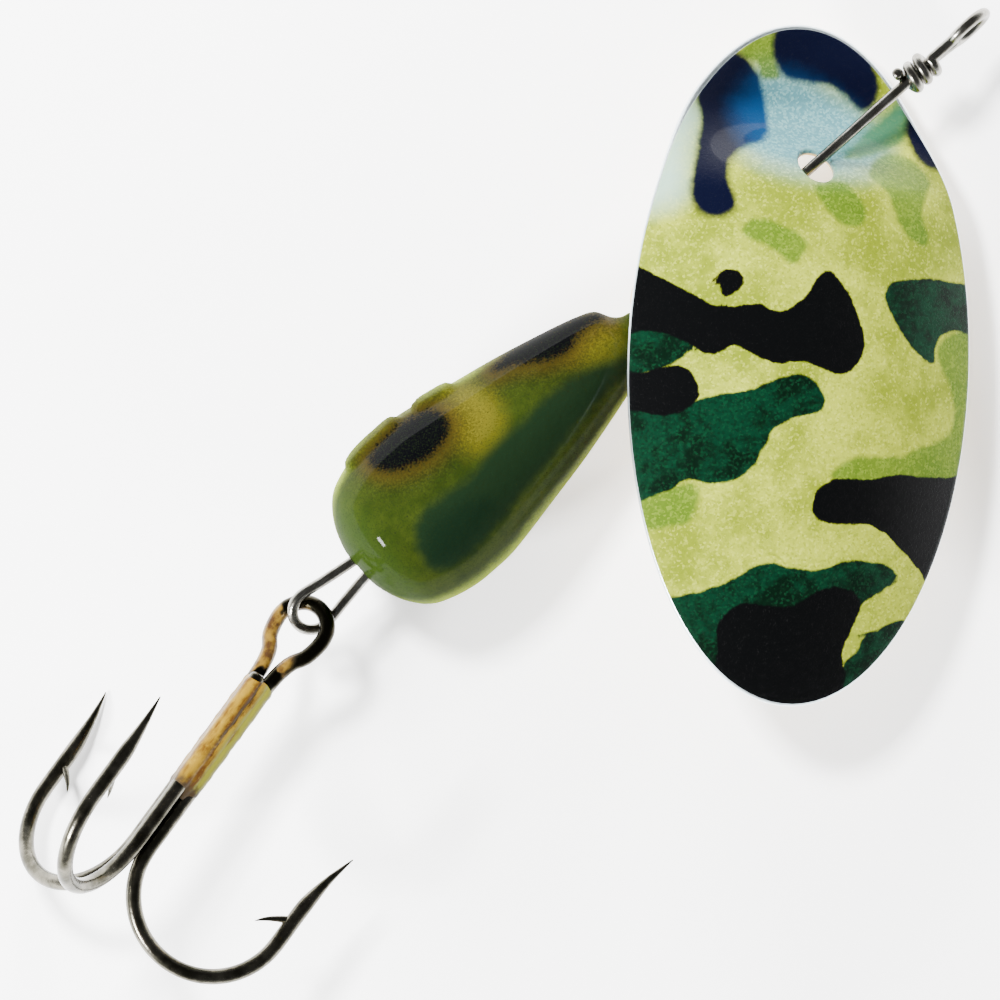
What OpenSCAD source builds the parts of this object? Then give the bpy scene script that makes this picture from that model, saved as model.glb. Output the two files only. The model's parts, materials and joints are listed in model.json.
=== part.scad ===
// Inline spinner: a painted blade that turns on a wire shaft in front of a weighted body,
// with a treble hook that swings on the loop behind the body.
// The shaft lies along X with the line eye at +X, and the lure lies flat, with +Z up.
// Shapes are first placed from the middle of the body's tail, and place() then moves them
// so that the origin is at the middle of the underside. All sizes are in millimetres.

/* [Wire] */
// Diameter of the stainless shaft wire
wire_d = 0.5; // [0.4:0.05:0.6]
// Distance from the tail of the body to the tip of the line eye
shaft_reach = 38.3; // [37.5:0.1:39]
// Outer width of the line eye
eye_w = 2.6; // [2.2:0.1:3]
// Lean of the line eye's plane away from upright, in degrees
eye_lean = 8; // [0:1:20]
// Number of turns of wire wrapped behind the line eye
wrap_turns = 2.8; // [2:0.1:2.9]
// Length of the wrap along the shaft
wrap_len = 1.95; // [1.9:0.05:2.1]
// Distance from the tail to the rear end of the hook loop
loop_reach = 3.8; // [3.6:0.1:4]
// Radius of the rear end of the hook loop, at the middle of the wire
loop_r = 1; // [0.95:0.01:1.05]
// Tilt of the hook loop about the shaft, in degrees
loop_tilt = 30; // [27:1:33]

/* [Body] */
// Length of the weighted body along the shaft
body_l = 16.9; // [16.5:0.1:16.9]
// Largest radius of the weighted body
body_r = 4.12; // [3.9:0.02:4.2]
// How far the two raised pads stand out of the body
pad_h = 0.3; // [0.1:0.05:0.4]

/* [Beads] */
// Diameter of the bearing bead in front of the body
bead_d = 3; // [2.6:0.1:3.1]
// Diameter of the thrust bead behind the blade
thrust_d = 2.2; // [1.8:0.1:2.4]
// Diameter of the hole in both beads
bead_bore = 0.6; // [0.55:0.01:0.65]

/* [Blade] */
// Length of the blade
blade_l = 31.3; // [30.3:0.1:31.6]
// Width of the blade
blade_w = 16.2; // [15:0.1:16.6]
// Thickness of the blade
blade_t = 0.45; // [0.35:0.05:0.5]
// Depth of the dish in the main part of the blade
dish_depth = 2.2; // [2:0.1:2.4]
// Drop of the top lobe's rim below the rim of the dish
lobe_drop = 1.2; // [1:0.1:1.3]
// Diameter of the hole that the shaft passes through
hole_d = 1.6; // [1.55:0.05:1.8]
// Distance from the hole to the middle of the blade
hole_offset = 8.9; // [8.7:0.1:9.1]

/* [Hook] */
// Diameter of the hook wire
hook_d = 0.73; // [0.65:0.01:0.75]
// Distance from the shank's middle to a point, across the bend
hook_gap = 7.74; // [7.4:0.02:7.9]
// Outer width of the hook eye
hook_eye_w = 3.3; // [3.2:0.05:3.4]
// Distance from the top of the hook eye to the end of the painted shank
hook_upper_l = 10.57; // [10.4:0.01:10.7]

/* [Hidden] */
$fn = 48;

// Origin: the middle of the underside of the lure's box, measured from the tail
origin_x = 8.864;
origin_y = -6.178;
shaft_z = 5.074;

wire_r = wire_d / 2;
tube_sides = 12;

// Shaft stations
wrap_rear_x = 33;
wrap_front_x = wrap_rear_x + wrap_len;
wrap_r = wire_d + 0.01;
wrap_lead = 0.14;
wrap_join = [0.3, 0.5];
wrap_steps = 16;
wrap_tag = [0.3, 0.16];
eye_r = (eye_w - wire_d) / 2;
eye_mid_x = shaft_reach - wire_r - eye_r;
shaft_rear_x = 2.4;
loop_leg_y = 0.48;
socket_d = 1.6;
socket_depth = 3.2;

// Body profile: distance from the tail, and radius as a share of the largest radius
body_profile = [[0, 0], [0.05, 0.26], [0.5, 0.56], [1.23, 0.79], [2.1, 0.905], [3.4, 0.985], [4.6, 1],
    [6, 0.983], [8.8, 0.853], [11.1, 0.74], [13.6, 0.588], [15, 0.487], [15.75, 0.4], [16.15, 0.24],
    [16.5, 0.165], [16.9, 0.14]];
profile_l = 16.9;
// Raised pads: distance from the tail, and half the length of the straight part
pad_at = [[4.2, 1.05], [7.7, 0.45]];
pad_round = 0.75;
pad_turn = 18;

// Beads
bearing_x = 18.45;
thrust_x = 23.35;

// Blade: axes of its plane, from the hole
hole_at = [27.61, -0.15, 0.08];
blade_mid_b = -0.3;
blade_heading = 226.1;
blade_roll = 16;
blade_rise = 5;
step_start = 1.5;
step_end = -3.5;
blade_rings = 9;
near = 0.01;
blade_spokes = 48;

// Hook: the end of the painted shank, and the hook's own axes
hook_at = [-12.48, -2.05, 1.45];
hook_heading = 192.3;
hook_rise = 7.2;
hook_angles = [-8, 112, 229];
hook_eye_turn = 25.6;
bundle_r = 0.44;
hook_r = hook_d / 2;
bend_r = (hook_gap - bundle_r) / 2;
bend_h = 3.24;
shank_top = -6.5;
shank_wire_end = 2.6;
eye_ring_r = (hook_eye_w - hook_d) / 2;
eye_ring_h = hook_r + eye_ring_r - hook_upper_l;
braze_r = 0.64;
barb_down = 1.5;
barb_out = hook_gap - 0.12;
barb_turn = 129;
barb_l = 1.5;
barb_root_r = 0.26;
barb_tip_r = 0.02;

// ---- Functions ----

function unit(v) = v / norm(v);
function smooth(t) = let (k = min(1, max(0, t))) k * k * (3 - 2 * k);

// A smooth curve through points: one value of a Catmull-Rom spline at t within stretch i
function spline_at(p, i, t) =
    let (a = p[max(0, i - 1)], b = p[i], c = p[i + 1], d = p[min(len(p) - 1, i + 2)])
    0.5 * (2 * b + (c - a) * t + (2 * a - 5 * b + 4 * c - d) * t * t
        + (3 * b - a - 3 * c + d) * t * t * t);
function spline(p, steps) = [
    for (i = [0 : len(p) - 2], k = [0 : steps - 1]) spline_at(p, i, k / steps),
    p[len(p) - 1]];

// Directions along a path, and a normal carried along it without twist
function tangents(p) = [for (i = [0 : len(p) - 1])
    unit(p[min(len(p) - 1, i + 1)] - p[max(0, i - 1)])];
function square_to(v, t) = unit(v - (v * t) * t);
function carried(t, first) = [
    for (i = 0, n = square_to(first, t[0]); i < len(t);
        i = i + 1, n = i < len(t) ? square_to(n, t[i]) : n) n];

// Points of an arc in the XY plane
function arc(mid, r, from, to, steps) = [for (k = [0 : steps])
    let (a = from + (to - from) * k / steps) [mid[0] + r * cos(a), mid[1] + r * sin(a)]];

// A round bar swept along a path, whose radius at each point is given
module bar(path, radii, first = [0, 0, 1]) {
    n = len(path);
    t = tangents(path);
    side = carried(t, first);
    rings = [for (i = [0 : n - 1], k = [0 : tube_sides - 1])
        let (a = 360 * k / tube_sides)
        path[i] + radii[i] * (cos(a) * side[i] + sin(a) * cross(t[i], side[i]))];
    walls = [for (i = [0 : n - 2], k = [0 : tube_sides - 1])
        let (a = i * tube_sides + k, b = i * tube_sides + (k + 1) % tube_sides)
        [a, a + tube_sides, b + tube_sides, b]];
    ends = [[for (k = [0 : tube_sides - 1]) k],
        [for (k = [tube_sides - 1 : -1 : 0]) (n - 1) * tube_sides + k]];
    polyhedron(rings, concat(walls, ends), convexity = 8);
}

function same(value, path) = [for (p = path) value];

// Moves a shape from the tail's frame to the part's own frame
module place() translate([-origin_x, -origin_y, shaft_z]) children();

// ---- Wire ----

module shaft_wire() color("silver") place()
    translate([shaft_rear_x, 0, 0]) rotate([0, 90, 0])
        cylinder(d = wire_d, h = wrap_front_x - shaft_rear_x);

// The eye: a loop whose two legs leave the end of the shaft and the front of the wrap
module line_eye() {
    open = 150;
    ring = arc([eye_mid_x, 0], eye_r, -open, open, 20);
    path = concat([[wrap_front_x, 0], [wrap_front_x + 0.25, -0.12]], ring,
        [[wrap_front_x + wrap_join[0], wrap_join[1]]]);
    color("silver") place() rotate([90 - eye_lean, 0, 0])
        bar([for (p = spline(path, 2)) [p[0], p[1], 0]], same(wire_r, spline(path, 2)));
}

// The wrap: turns of the same wire round the shaft, from the eye back to a cut end
module eye_wrap() {
    start = 90 - eye_lean;
    steps = round(wrap_turns * wrap_steps);
    length = wrap_len - wire_r - wrap_lead;
    first = [[wrap_front_x + wrap_join[0], wrap_join[1] * cos(start), wrap_join[1] * sin(start)]];
    turns = [for (k = [0 : steps])
        let (s = k / steps, a = start + 360 * wrap_turns * s)
        [wrap_front_x - wrap_lead - length * s, wrap_r * cos(a), wrap_r * sin(a)]];
    last = turns[steps];
    away = unit([0, last[1], last[2]]);
    tag = [last + cross([1, 0, 0], away) * wrap_tag[0] + away * wrap_tag[1]];
    path = concat(first, turns, tag);
    color("silver") place() bar(path, same(wire_r, path), [1, 0, 0]);
}

// The hook loop: the shaft opens into a teardrop, and its end is tucked into the body
module hook_loop() {
    turn = 102;
    ring = arc([loop_r - loop_reach, 0], loop_r, 180 - turn, 180 + turn, 18);
    path = concat([[shaft_rear_x, 0], [1.5, 0.2], [0.6, loop_leg_y - 0.06], [-1.2, loop_leg_y + 0.23]],
        ring, [[-1.2, -loop_leg_y - 0.23], [0.6, -loop_leg_y + 0.02], [2.9, -loop_leg_y]]);
    smooth_path = spline(path, 2);
    color("silver") place() rotate([loop_tilt, 0, 0])
        bar([for (p = smooth_path) [p[0], p[1], 0]], same(wire_r, smooth_path));
}

// ---- Body ----

function body_outline() = [for (p = spline(body_profile, 3))
    [max(0, p[1]) * body_r, p[0] * body_l / profile_l]];
function body_radius(x) = lookup(x, [for (p = spline(body_profile, 3)) [p[0], p[1] * body_r]]);

// A raised pad: a sunken capsule that follows the slope of the body
module pad(x, half) {
    slope = atan(body_radius(x + 0.5) - body_radius(x - 0.5));
    rotate([pad_turn, 0, 0]) translate([x, body_radius(x) + pad_h - pad_round, 0]) rotate([0, 0, slope]) {
        translate([-half, 0, 0]) sphere(r = pad_round);
        translate([half, 0, 0]) sphere(r = pad_round);
        translate([-half, 0, 0]) rotate([0, 90, 0]) cylinder(r = pad_round, h = 2 * half);
    }
}

module weighted_body() color("olivedrab") place() difference() {
    union() {
        rotate([0, 90, 0]) rotate_extrude($fn = 64) polygon(body_outline());
        for (p = pad_at) pad(p[0], p[1]);
    }
    translate([-1, 0, 0]) rotate([0, 90, 0]) cylinder(d = wire_d, h = body_l + 2);
    translate([-1, 0, 0]) rotate([0, 90, 0]) cylinder(d = socket_d, h = 1 + socket_depth);
}

// ---- Beads ----

module bead(x, d) color("goldenrod") place() translate([x, 0, 0]) rotate([0, 90, 0])
    rotate_extrude() difference() {
        circle(d = d);
        translate([-d, -d]) square([d + bead_bore / 2, 2 * d]);
    }
module bearing_bead() bead(bearing_x, bead_d);
module thrust_bead() bead(thrust_x, thrust_d);

// ---- Blade ----

// Share of the way from the dish to the lobe, at distance a from the hole towards the tip
function step_share(a) = smooth((step_start - a) / (step_start - step_end));
// Height of the blade's middle surface over its plane: a dish, and a lobe dished the other way
function crown(a, b) = 1 - pow((a - hole_offset) * 2 / blade_l, 2)
    - pow((b - blade_mid_b) * 2 / blade_w, 2);
function raw_height(a, b) =
    dish_depth * crown(a, b) * (1 - 2 * step_share(a)) - lobe_drop * step_share(a);
function height(a, b) = raw_height(a, b) - raw_height(0, 0);
function slope_a(a, b) = (height(a + near, b) - height(a - near, b)) / (2 * near);
function slope_b(a, b) = (height(a, b + near) - height(a, b - near)) / (2 * near);
function upright(a, b) = unit([-slope_a(a, b), -slope_b(a, b), 1]);

// One side of the blade: rings of an ellipse about its middle, on one face of the sheet
function blade_face(side) = [
    for (i = [1 : blade_rings], k = [0 : blade_spokes - 1])
        let (s = sin(90 * i / blade_rings), w = 360 * k / blade_spokes)
        let (a = hole_offset + s * blade_l / 2 * cos(w), b = blade_mid_b + s * blade_w / 2 * sin(w))
        [a, b, height(a, b)] + side * blade_t / 2 * upright(a, b),
    let (a = hole_offset, b = blade_mid_b)
        [a, b, height(a, b)] + side * blade_t / 2 * upright(a, b)];

module blade_sheet() {
    top = blade_face(1);
    bottom = blade_face(-1);
    n = len(top);
    m = blade_spokes;
    rim = (blade_rings - 1) * m;
    skin = [for (i = [0 : blade_rings - 2], k = [0 : m - 1])
        let (a = i * m + k, b = i * m + (k + 1) % m)
        [[b, b + m, a], [b + m, a + m, a]]];
    middle = [for (k = [0 : m - 1]) [n - 1, (k + 1) % m, k]];
    up = concat([for (pair = skin, f = pair) f], middle);
    down = [for (f = up) [f[2] + n, f[1] + n, f[0] + n]];
    edge = [for (k = [0 : m - 1])
        let (a = rim + k, b = rim + (k + 1) % m)
        each [[a, b, b + n], [a, b + n, a + n]]];
    polyhedron(concat(top, bottom), concat(up, down, edge), convexity = 6);
}

// The blade's own frame: X from the hole to the tip, -Y to its raised edge, Z to its outer face
module blade_frame() translate(hole_at) rotate([0, 0, blade_heading])
    rotate([-blade_roll, -blade_rise, 0]) children();

module blade() color("yellowgreen") place() blade_frame() difference() {
    blade_sheet();
    lean = upright(0, 0);
    rotate([0, acos(lean[2]), atan2(lean[1], lean[0])])
        translate([0, 0, -2]) cylinder(d = hole_d, h = 4);
}

// ---- Hook ----

// A point of the hook: distance out from the shank, height down it, and angle round it
function hook_point(out, down, turn) = [down, out * cos(turn), out * sin(turn)];

// One arm: the shank, the round bend and the point, as distance out and distance down
function arm_outline() = concat(
    [[bundle_r, shank_top + 0.6], [bundle_r, -3], [bundle_r, 0], [bundle_r, shank_wire_end]],
    arc([bundle_r + bend_r, bend_h], bend_r, 180, 0, 14),
    [[hook_gap, 1.9], [hook_gap + 0.03, 0.9], [hook_gap + 0.2, -0.4], [hook_gap + 0.38, -1.2],
        [hook_gap + 0.56, -1.9]]);
arm_radii = concat([for (k = [0 : 18]) hook_r],
    [hook_r, hook_r * 0.96, hook_r * 0.55, hook_r * 0.3, hook_r * 0.08]);

function arm(turn) = [for (p = arm_outline()) hook_point(p[0], p[1], turn)];
function backwards(list) = [for (i = [len(list) - 1 : -1 : 0]) list[i]];

// A barb: a sharp sliver that stands off the inner side of the point
module barb(turn) rotate([turn, 0, 0]) translate([barb_down, barb_out, 0])
    rotate([0, 0, barb_turn]) rotate([0, 90, 0])
        cylinder(r1 = barb_root_r, r2 = barb_tip_r, h = barb_l, $fn = 24);

// The hook's own frame: X down the shank from the end of its paint
module hook_frame() translate(hook_at) rotate([0, 0, hook_heading]) rotate([0, -hook_rise, 0])
    children();

// The first wire makes the eye and two of the arms
module double_hook() {
    lean = [cos(hook_eye_turn), sin(hook_eye_turn)];
    back = -bundle_r / 2;
    legs = concat([[0.62, shank_top - 0.75], [1.08, eye_ring_h + 0.95], [1.27, eye_ring_h + 0.1]],
        arc([0, eye_ring_h], eye_ring_r, -20, -160, 12),
        [[-1.27, eye_ring_h + 0.1], [-1.08, eye_ring_h + 0.95], [-0.62, shank_top - 0.75]]);
    eye = [for (p = legs) [p[1], p[0] * lean[0] + back * -lean[1], p[0] * lean[1] + back * lean[0]]];
    path = concat(backwards(arm(hook_angles[0])), eye, arm(hook_angles[2]));
    radii = concat(backwards(arm_radii), same(hook_r, eye), arm_radii);
    color("dimgray") place() hook_frame() {
        bar(path, radii);
        barb(hook_angles[0]);
        barb(hook_angles[2]);
    }
}

// The second wire is a single arm, laid against the other two
module single_hook() color("dimgray") place() hook_frame() {
    bar(arm(hook_angles[1]), arm_radii);
    barb(hook_angles[1]);
}

// Braze that fills the grooves between the three wires of the shank
module hook_braze() color("peru") place() hook_frame() difference() {
    translate([shank_top + 0.7, 0, 0]) rotate([0, 90, 0]) cylinder(r = braze_r, h = -shank_top + 0.6);
    for (turn = hook_angles) translate([shank_top - 1, bundle_r * cos(turn), bundle_r * sin(turn)])
        rotate([0, 90, 0]) cylinder(r = hook_r, h = 12);
}

shaft_wire();
line_eye();
eye_wrap();
hook_loop();
weighted_body();
bearing_bead();
thrust_bead();
blade();
double_hook();
single_hook();
hook_braze();
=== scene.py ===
# Looks of the inline spinner: smooth bent wire, a cast and airbrushed body, a dished and
# camouflage-painted blade, turned brass beads and a brazed treble hook.
# Lengths are in millimetres, measured from the middle of the body's tail with X along the
# shaft, until a mesh is made: to_frame() then gives metres in the frame's own axes.
import json
import math

import bpy
import numpy as np
from mathutils import Matrix, Vector


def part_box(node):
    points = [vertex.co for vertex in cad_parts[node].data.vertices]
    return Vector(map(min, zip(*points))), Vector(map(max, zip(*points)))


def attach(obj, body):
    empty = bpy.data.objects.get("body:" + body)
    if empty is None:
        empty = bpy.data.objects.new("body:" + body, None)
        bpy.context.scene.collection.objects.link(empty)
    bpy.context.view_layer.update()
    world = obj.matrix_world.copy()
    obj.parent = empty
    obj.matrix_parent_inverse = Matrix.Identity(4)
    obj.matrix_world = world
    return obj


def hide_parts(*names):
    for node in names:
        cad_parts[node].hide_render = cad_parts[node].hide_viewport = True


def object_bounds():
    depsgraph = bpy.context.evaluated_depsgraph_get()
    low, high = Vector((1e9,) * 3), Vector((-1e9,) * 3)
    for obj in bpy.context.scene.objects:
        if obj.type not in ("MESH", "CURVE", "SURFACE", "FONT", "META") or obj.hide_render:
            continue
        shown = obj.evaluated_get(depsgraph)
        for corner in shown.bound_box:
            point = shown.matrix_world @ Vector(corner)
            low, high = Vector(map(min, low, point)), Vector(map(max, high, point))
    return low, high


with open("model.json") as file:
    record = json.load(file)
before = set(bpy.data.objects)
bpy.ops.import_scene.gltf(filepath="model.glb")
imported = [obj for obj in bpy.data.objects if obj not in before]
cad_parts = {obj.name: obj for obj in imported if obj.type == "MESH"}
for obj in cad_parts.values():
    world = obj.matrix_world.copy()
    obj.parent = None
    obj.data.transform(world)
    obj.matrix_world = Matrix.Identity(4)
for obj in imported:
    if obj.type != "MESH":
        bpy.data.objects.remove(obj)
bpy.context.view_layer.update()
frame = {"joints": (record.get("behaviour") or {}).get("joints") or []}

# ---- Places taken from the frame ----

MM = 0.001
SHAFT_REACH = 38.3  # from the tail to the front of the line eye
TINY = 1e-6
eye_low, eye_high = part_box("line_eye")
shaft_low, shaft_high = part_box("shaft_wire")
TAIL = np.array([eye_high.x / MM - SHAFT_REACH, (shaft_low.y + shaft_high.y) / 2 / MM,
                 (shaft_low.z + shaft_high.z) / 2 / MM])
WIRE_R = (shaft_high.z - shaft_low.z) / 2 / MM
JOINTS = {joint["name"]: joint for joint in frame["joints"]}
HOLE = np.array(JOINTS["blade_flare"]["pos_m"]) / MM - TAIL
LOOP_MID = np.array(JOINTS["hook_swing"]["pos_m"]) / MM - TAIL
BEARING_X = (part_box("bearing_bead")[0].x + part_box("bearing_bead")[1].x) / 2 / MM - TAIL[0]
THRUST_X = (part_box("thrust_bead")[0].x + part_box("thrust_bead")[1].x) / 2 / MM - TAIL[0]
WRAP_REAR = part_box("eye_wrap")[0].x / MM - TAIL[0]
WRAP_FRONT = shaft_high.x / MM - TAIL[0]


def to_frame(points):
    """Millimetres from the tail to metres in the frame's own axes."""
    return (np.asarray(points, float) + TAIL) * MM


# ---- Small geometry helpers ----

def unit(vector):
    return vector / np.linalg.norm(vector)


def turn(axis, degrees):
    """3x3 rotation about an axis, by the right-hand rule."""
    return np.array(Matrix.Rotation(math.radians(degrees), 3, Vector(axis)))


def smooth_step(value):
    t = np.clip(value, 0, 1)
    return t * t * (3 - 2 * t)


def arc(mid, radius, start, end, steps):
    angles = np.radians(np.linspace(start, end, steps + 1))
    return [(mid[0] + radius * math.cos(a), mid[1] + radius * math.sin(a)) for a in angles]


def spline(points, steps):
    """Catmull-Rom curve through the points, with that many steps in each stretch."""
    p = np.asarray(points, float)
    out = []
    for i in range(len(p) - 1):
        a, b, c, d = p[max(0, i - 1)], p[i], p[i + 1], p[min(len(p) - 1, i + 2)]
        for t in np.arange(steps) / steps:
            out.append(0.5 * (2 * b + (c - a) * t + (2 * a - 5 * b + 4 * c - d) * t**2
                              + (3 * b - a - 3 * c + d) * t**3))
    out.append(p[-1])
    return np.array(out)


def tidy_path(path, shortest):
    """The path without points that are nearer than shortest to the one before."""
    kept = [path[0]]
    for point in path[1:]:
        if np.linalg.norm(point - kept[-1]) > shortest:
            kept.append(point)
    return np.array(kept)


def add_mesh(name, vertices, faces):
    """A new smooth mesh object from points in millimetres from the tail."""
    mesh = bpy.data.meshes.new(name)
    mesh.from_pydata([tuple(v) for v in to_frame(vertices)], [], faces)
    mesh.validate()
    mesh.update()
    for polygon in mesh.polygons:
        polygon.use_smooth = True
    obj = bpy.data.objects.new(name, mesh)
    bpy.context.scene.collection.objects.link(obj)
    return obj


def tube_faces(rings, sides, closed=False):
    """Faces between neighbouring rings of vertices, and from the last to the first if closed."""
    return [(i * sides + k, (i + 1) % rings * sides + k,
             (i + 1) % rings * sides + (k + 1) % sides, i * sides + (k + 1) % sides)
            for i in range(rings if closed else rings - 1) for k in range(sides)]


def end_faces(rings, sides):
    """The two faces that close the ends of a tube."""
    last = (rings - 1) * sides
    return [tuple(range(sides)), tuple(last + k for k in reversed(range(sides)))]


def bar_mesh(path, radii, sides=24):
    """Vertices and faces of a round bar along a path, with domed ends."""
    # Each ring of a dome, as (share of the bar's radius, share of the dome's height)
    dome = [(0.94, 0.34), (0.77, 0.64), (0.5, 0.87), (0.17, 0.985)]
    dome_height = 0.6  # as a share of the bar's radius
    path, radii = np.asarray(path, float), np.asarray(radii, float)
    ahead = np.vstack([path[1:], path[-1:]])
    behind = np.vstack([path[:1], path[:-1]])
    tangents = np.array([unit(v) for v in ahead - behind])
    normal = np.array([0.0, 0.0, 1.0])
    rings = []
    for point, tangent, radius in zip(path, tangents, radii):
        normal = unit(normal - normal.dot(tangent) * tangent)
        across = np.cross(tangent, normal)
        rings.append((point, radius, normal, across, tangent))
    for end, sign in ((0, -1), (-1, 1)):
        point, radius, n, a, t = rings[end]
        extra = [(point + sign * t * radius * out * dome_height, radius * share, n, a, t)
                 for share, out in dome]
        rings = extra[::-1] + rings if sign < 0 else rings + extra
    angles = np.arange(sides) * 2 * math.pi / sides
    vertices = [point + radius * (math.cos(w) * n + math.sin(w) * a)
                for point, radius, n, a, t in rings for w in angles]
    return np.array(vertices), tube_faces(len(rings), sides) + end_faces(len(rings), sides)


def join(parts):
    """One list of vertices and faces from several."""
    vertices, faces, count = [], [], 0
    for part_vertices, part_faces in parts:
        vertices.append(part_vertices)
        faces += [tuple(i + count for i in face) for face in part_faces]
        count += len(part_vertices)
    return np.vstack(vertices), faces


def revolve(profile, sides, closed=False):
    """Vertices and faces of a profile of (along X, radius) turned round the shaft."""
    angles = np.arange(sides) * 2 * math.pi / sides
    vertices = [(x, r * math.cos(w), r * math.sin(w)) for x, r in profile for w in angles]
    faces = [(a, d, c, b) for a, b, c, d in tube_faces(len(profile), sides, closed)]
    return np.array(vertices), faces


# ---- Node helpers ----

class Nodes:
    """Builds the node tree of one material."""

    def __init__(self, name):
        self.material = bpy.data.materials.new(name)
        self.material.use_nodes = True
        self.tree = self.material.node_tree
        self.shader = self.tree.nodes["Principled BSDF"]

    def add(self, kind, **settings):
        node = self.tree.nodes.new(kind)
        for key, value in settings.items():
            setattr(node, key, value)
        return node

    def link(self, source, target):
        if isinstance(source, bpy.types.NodeSocket):
            self.tree.links.new(source, target)
        else:
            target.default_value = source

    def math(self, operation, *inputs):
        node = self.add("ShaderNodeMath", operation=operation)
        for i, value in enumerate(inputs):
            self.link(value, node.inputs[i])
        return node.outputs[0]

    def vector(self, operation, *inputs, scale=None):
        node = self.add("ShaderNodeVectorMath", operation=operation)
        for i, value in enumerate(inputs):
            self.link(value, node.inputs[i])
        if scale is not None:
            self.link(scale, node.inputs["Scale"])
        dotted = operation in ("DOT_PRODUCT", "LENGTH", "DISTANCE")
        return node.outputs["Value" if dotted else "Vector"]

    def place(self):
        """Millimetres from the tail of the body."""
        where = self.add("ShaderNodeTexCoord").outputs["Object"]
        return self.vector("SUBTRACT", self.vector("SCALE", where, scale=1 / MM), tuple(TAIL))

    def noise(self, where, scale, detail=3, roughness=0.55):
        """Noise from 0 to 1 whose features are 1 / scale of the place's unit."""
        node = self.add("ShaderNodeTexNoise")
        self.link(where, node.inputs["Vector"])
        node.inputs["Scale"].default_value = scale
        node.inputs["Detail"].default_value = detail
        node.inputs["Roughness"].default_value = roughness
        return node.outputs["Fac"], node.outputs["Color"]

    def cells(self, where, scale, output="Color"):
        node = self.add("ShaderNodeTexVoronoi")
        self.link(where, node.inputs["Vector"])
        node.inputs["Scale"].default_value = scale
        return node.outputs[output]

    def fade(self, value, low, high):
        """0 at low, 1 at high, and smooth between. Low may be the larger of the two."""
        node = self.add("ShaderNodeMapRange", interpolation_type="SMOOTHSTEP")
        self.link(value, node.inputs["Value"])
        node.inputs["From Min"].default_value = low
        node.inputs["From Max"].default_value = high
        return node.outputs["Result"]

    def mix(self, share, a, b):
        node = self.add("ShaderNodeMix", data_type="RGBA")
        self.link(share, node.inputs["Factor"])
        for value, socket in ((a, node.inputs["A"]), (b, node.inputs["B"])):
            self.link(value if isinstance(value, bpy.types.NodeSocket) else (*value, 1), socket)
        return node.outputs["Result"]

    def attribute(self, name):
        return self.add("ShaderNodeAttribute", attribute_name=name).outputs["Fac"]

    def bump(self, height, distance):
        """distance is the height in millimetres that a value of 1 stands for."""
        node = self.add("ShaderNodeBump")
        node.inputs["Strength"].default_value = 1
        node.inputs["Distance"].default_value = distance * MM
        self.link(height, node.inputs["Height"])
        return node.outputs["Normal"]

    def finish(self, color, roughness, normal=None, **settings):
        self.link(color if isinstance(color, bpy.types.NodeSocket) else (*color, 1),
                  self.shader.inputs["Base Color"])
        self.link(roughness, self.shader.inputs["Roughness"])
        if normal is not None:
            self.link(normal, self.shader.inputs["Normal"])
        for key, value in settings.items():
            self.shader.inputs[key.replace("_", " ")].default_value = value
        return self.material


# ---- Outlines of paint ----

def outline_distance(points, outline):
    """Signed distance in mm from each 2-D point to a closed outline: negative inside."""
    steps = 4
    loop = spline(list(outline) + [outline[0], outline[1]], steps)[:-steps]
    start, end = loop[:-1], loop[1:]
    edge = end - start
    length2 = np.maximum((edge**2).sum(1), 1e-9)
    nearest = np.full(len(points), 1e9)
    inside = np.zeros(len(points), bool)
    for s, e, d, l2 in zip(start, end, edge, length2):
        share = np.clip(((points - s) @ d) / l2, 0, 1)
        gap = points - s - share[:, None] * d
        nearest = np.minimum(nearest, (gap**2).sum(1))
        crosses = (s[1] > points[:, 1]) != (e[1] > points[:, 1])
        if d[1] != 0:
            at = s[0] + (points[:, 1] - s[1]) / d[1] * d[0]
            inside ^= crosses & (points[:, 0] < at)
    return np.where(inside, -1, 1) * np.sqrt(nearest)


def store(obj, name, values):
    """Keeps one value for each vertex, which a material reads by that name."""
    layer = obj.data.attributes.new(name, "FLOAT", "POINT")
    layer.data.foreach_set("value", np.asarray(values, np.float32))


def paint_attribute(obj, name, points, outlines):
    """Stores the signed distance to the nearest of several outlines on each vertex."""
    values = np.min([outline_distance(points, outline) for outline in outlines], axis=0)
    store(obj, name, values)


# ---- Wire ----

LOOP_R = 1.0
LOOP_TILT = 30  # degrees from level, about the shaft
EYE_LEAN = 8  # degrees from upright, about the shaft
EYE_R = (eye_high.z - eye_low.z) / 2 / MM - WIRE_R
WRAP_R = 2 * WIRE_R + 0.01
WRAP_TURNS = 2.8
WRAP_MARGIN = 0.14
TAG_LENGTH, TAG_LIFT = 0.3, 0.16
SHAFT_REAR = shaft_low.x / MM - TAIL[0]
LOOP_LEG = 0.48  # about how far each leg of the hook loop is from the shaft's line


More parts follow.
